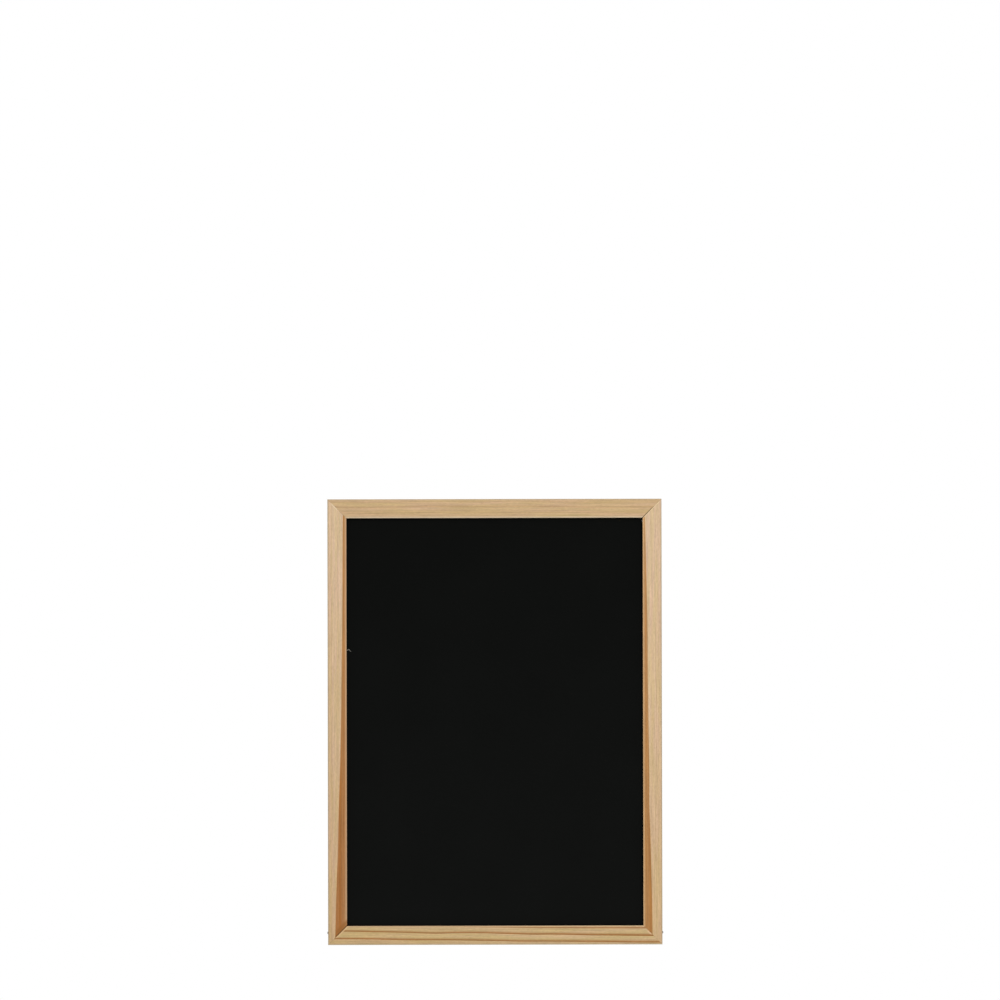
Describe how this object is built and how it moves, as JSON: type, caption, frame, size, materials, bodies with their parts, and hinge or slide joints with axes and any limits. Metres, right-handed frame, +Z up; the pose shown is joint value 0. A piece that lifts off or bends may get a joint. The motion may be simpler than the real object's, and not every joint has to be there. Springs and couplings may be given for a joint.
{
  "type": "magnetic chalkboard",
  "caption": "Portrait magnetic chalkboard: a matte black lacquered steel sheet in a mitred plain pine frame, with swinging D-ring hangers and felt pads on the back.",
  "frame": {"origin": "on the wall plane, midway between the two hanger rings, at the height of the bars they swing on", "axes": "+X to the right of a viewer facing the board, +Y out of the back into the wall, +Z up"},
  "size_m": [0.3016, 0.0165, 0.4],
  "materials": {
    "pine": "planed clear pine with a thin matte lacquer",
    "chalk_lacquer": "matte black chalk lacquer on sheet steel",
    "hardboard": "brown hardboard, screen-marked on the back",
    "dark_steel": "plain bright-drawn steel, dulled",
    "zinc_steel": "zinc-plated steel",
    "felt": "dark grey-brown pressed felt"
  },
  "bodies": {
    "board": {"top_rail": "pine", "bottom_rail": "pine", "left_stile": "pine", "right_stile": "pine", "steel_sheet": "chalk_lacquer", "backboard": "hardboard", "v_nail_bottom_right_outer": "dark_steel", "v_nail_bottom_right_inner": "dark_steel", "v_nail_top_right_outer": "dark_steel", "v_nail_top_right_inner": "dark_steel", "v_nail_top_left_outer": "dark_steel", "v_nail_top_left_inner": "dark_steel", "v_nail_bottom_left_outer": "dark_steel", "v_nail_bottom_left_inner": "dark_steel", "corner_pin_left": "dark_steel", "corner_pin_right": "dark_steel", "hanger_strap_left": "zinc_steel", "hanger_strap_right": "zinc_steel", "hanger_screw_left": "zinc_steel", "hanger_screw_right": "zinc_steel", "wall_pad_left": "felt", "wall_pad_right": "felt"},
    "left_ring": {"hanger_ring_left": "zinc_steel"},
    "right_ring": {"hanger_ring_right": "zinc_steel"}
  },
  "joints": [
    {"name": "left_ring_swing", "type": "hinge", "parent": "board", "child": "left_ring", "pos_m": [-0.1415, -0.0018, 0], "axis": [1, 0, 0], "range_deg": [0, 180]},
    {"name": "right_ring_swing", "type": "hinge", "parent": "board", "child": "right_ring", "pos_m": [0.1415, -0.0018, 0], "axis": [1, 0, 0], "range_deg": [0, 180]}
  ]
}
